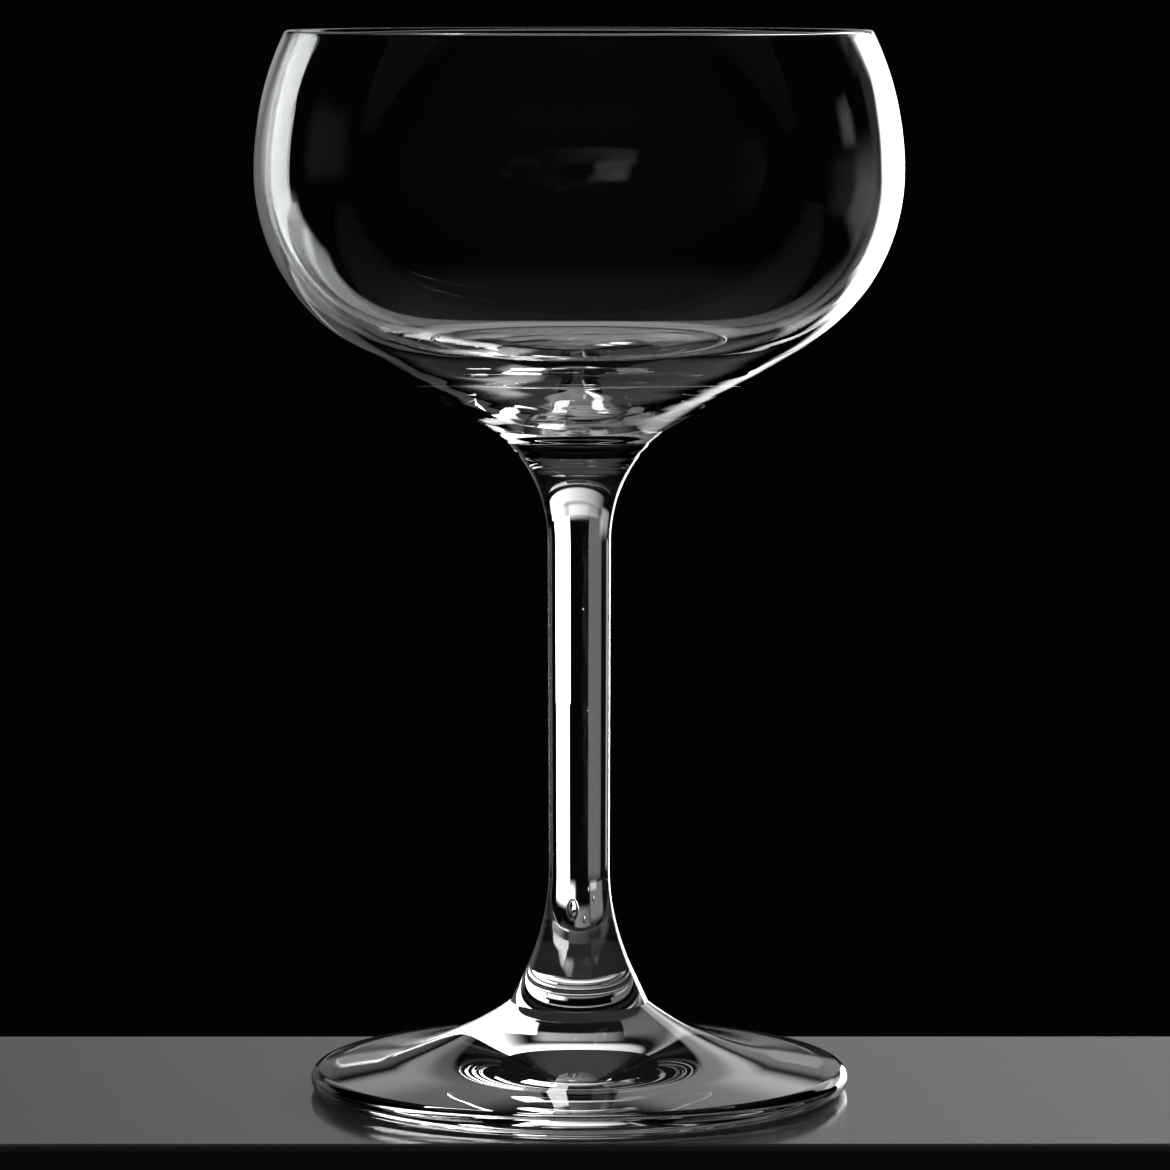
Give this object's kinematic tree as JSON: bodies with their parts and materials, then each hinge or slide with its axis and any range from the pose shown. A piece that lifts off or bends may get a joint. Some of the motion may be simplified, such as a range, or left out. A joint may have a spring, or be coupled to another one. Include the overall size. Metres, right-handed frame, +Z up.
{
  "type": "coupe_glass",
  "caption": "Clear coupe glass: a broad shallow bowl that draws in at the rim, on a slim flared stem and a round foot.",
  "frame": {"origin": "the middle of the ring that the foot rests on, at table height", "axes": "+Z runs up the axis of the glass to the rim; X and Y lie in the table plane, and the glass is round about Z"},
  "size_m": [0.0914, 0.0914, 0.15],
  "materials": {
    "clear_glass": "clear, colourless and fire polished"
  },
  "bodies": {
    "root": {"bowl": "clear_glass", "stem": "clear_glass", "foot": "clear_glass"}
  },
  "joints": []
}
